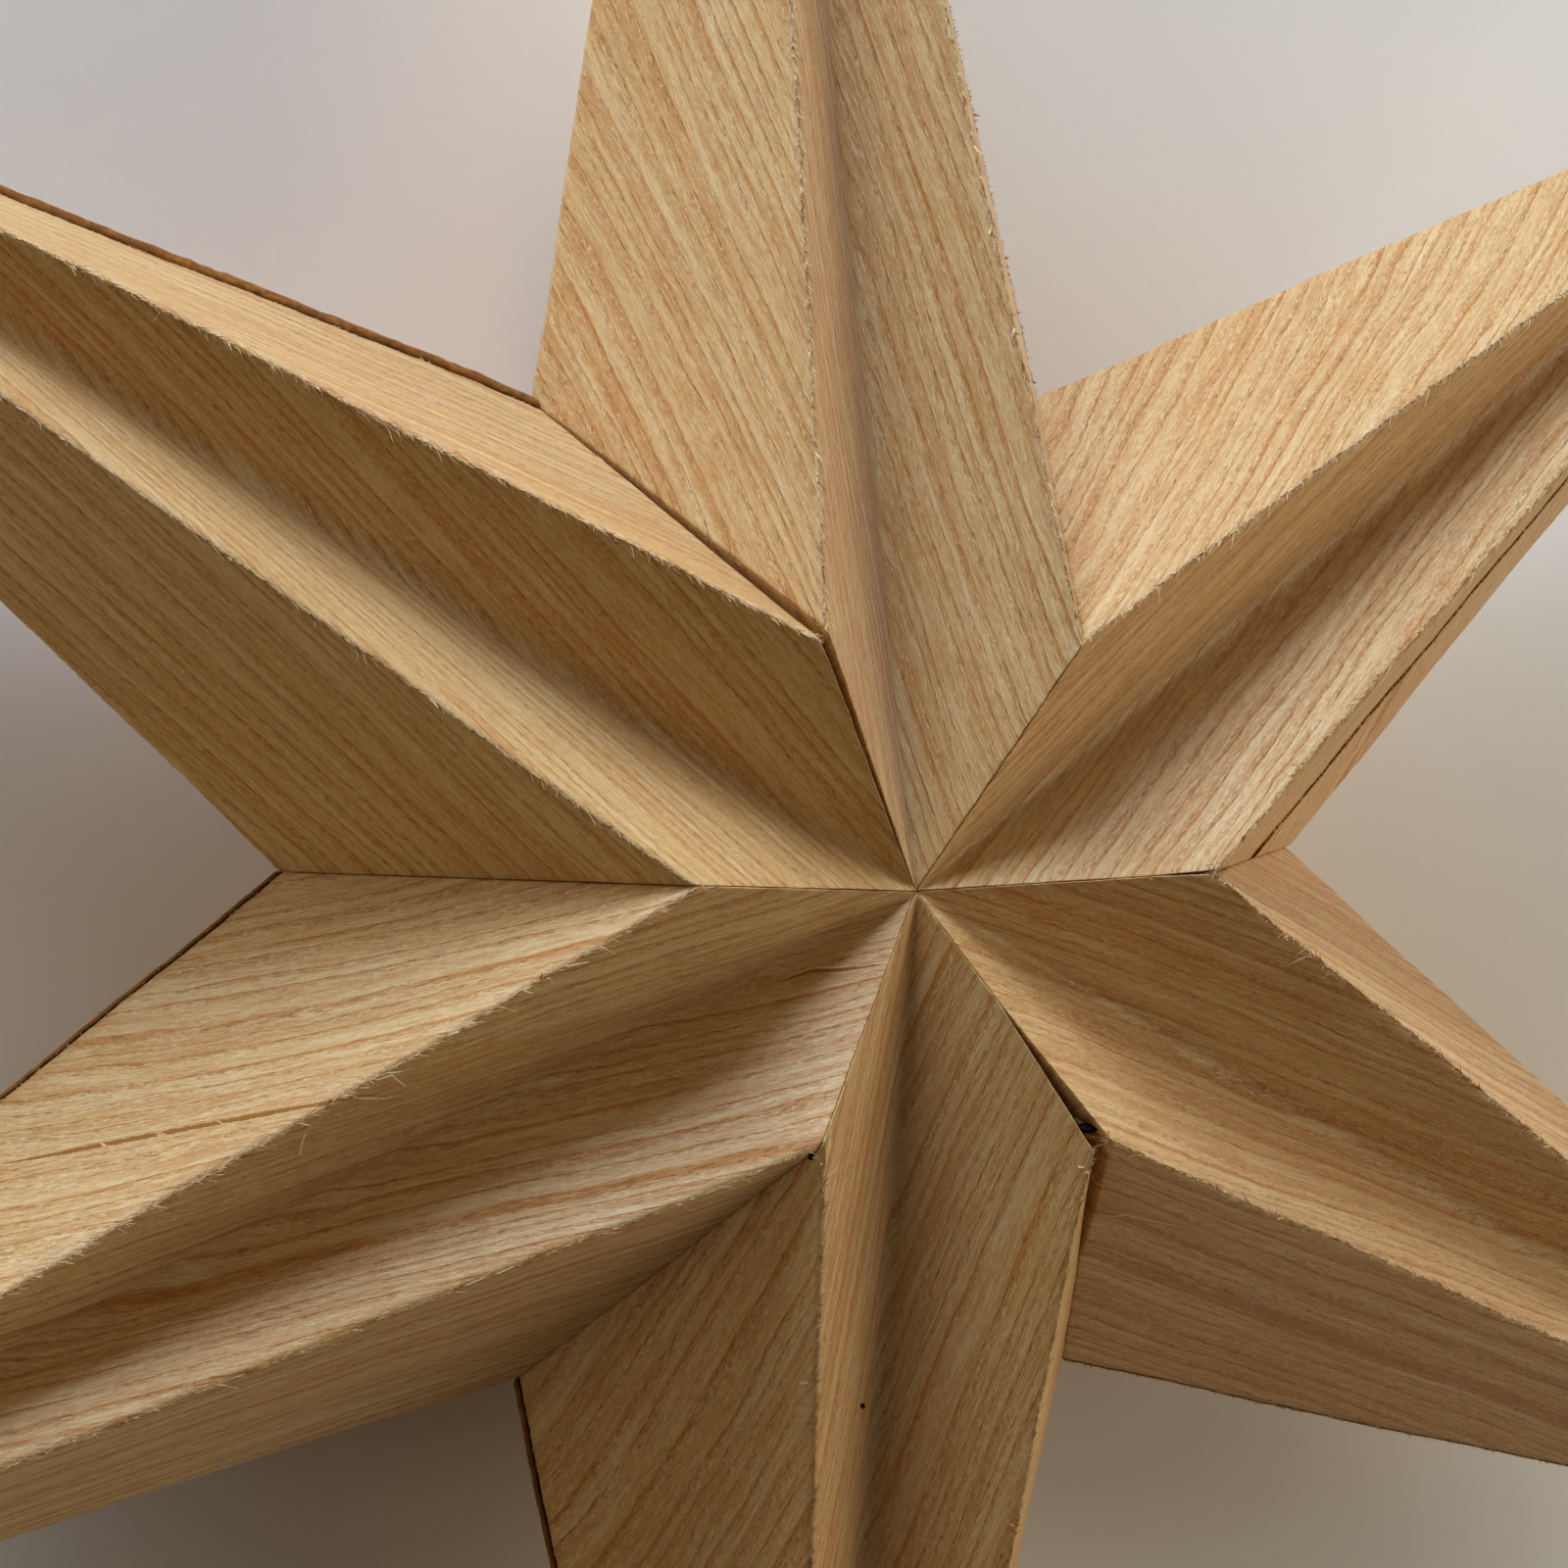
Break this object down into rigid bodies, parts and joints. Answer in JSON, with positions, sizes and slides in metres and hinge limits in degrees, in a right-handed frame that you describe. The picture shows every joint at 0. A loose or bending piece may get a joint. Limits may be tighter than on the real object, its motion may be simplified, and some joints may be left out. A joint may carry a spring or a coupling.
{
  "type": "origami star",
  "caption": "Folded wood-veneer star ornament: hollow ridged arms with a valley fold, tapering to points and mitred together at a raised hub.",
  "frame": {"origin": "centre of the bounding box in plan, on the surface that the star lies on", "axes": "+Z out of the front face, +Y along the top arm, +X to the right seen from the front"},
  "size_m": [0.3434, 0.3822, 0.0785],
  "materials": {
    "veneer": "bare open-grained pale ash-like veneer, lightly sanded, unvarnished"
  },
  "bodies": {
    "root": {"arm_top": "veneer", "arm_upper_left": "veneer", "arm_lower_left": "veneer", "arm_bottom": "veneer", "arm_lower_right": "veneer", "arm_upper_right": "veneer"}
  },
  "joints": []
}
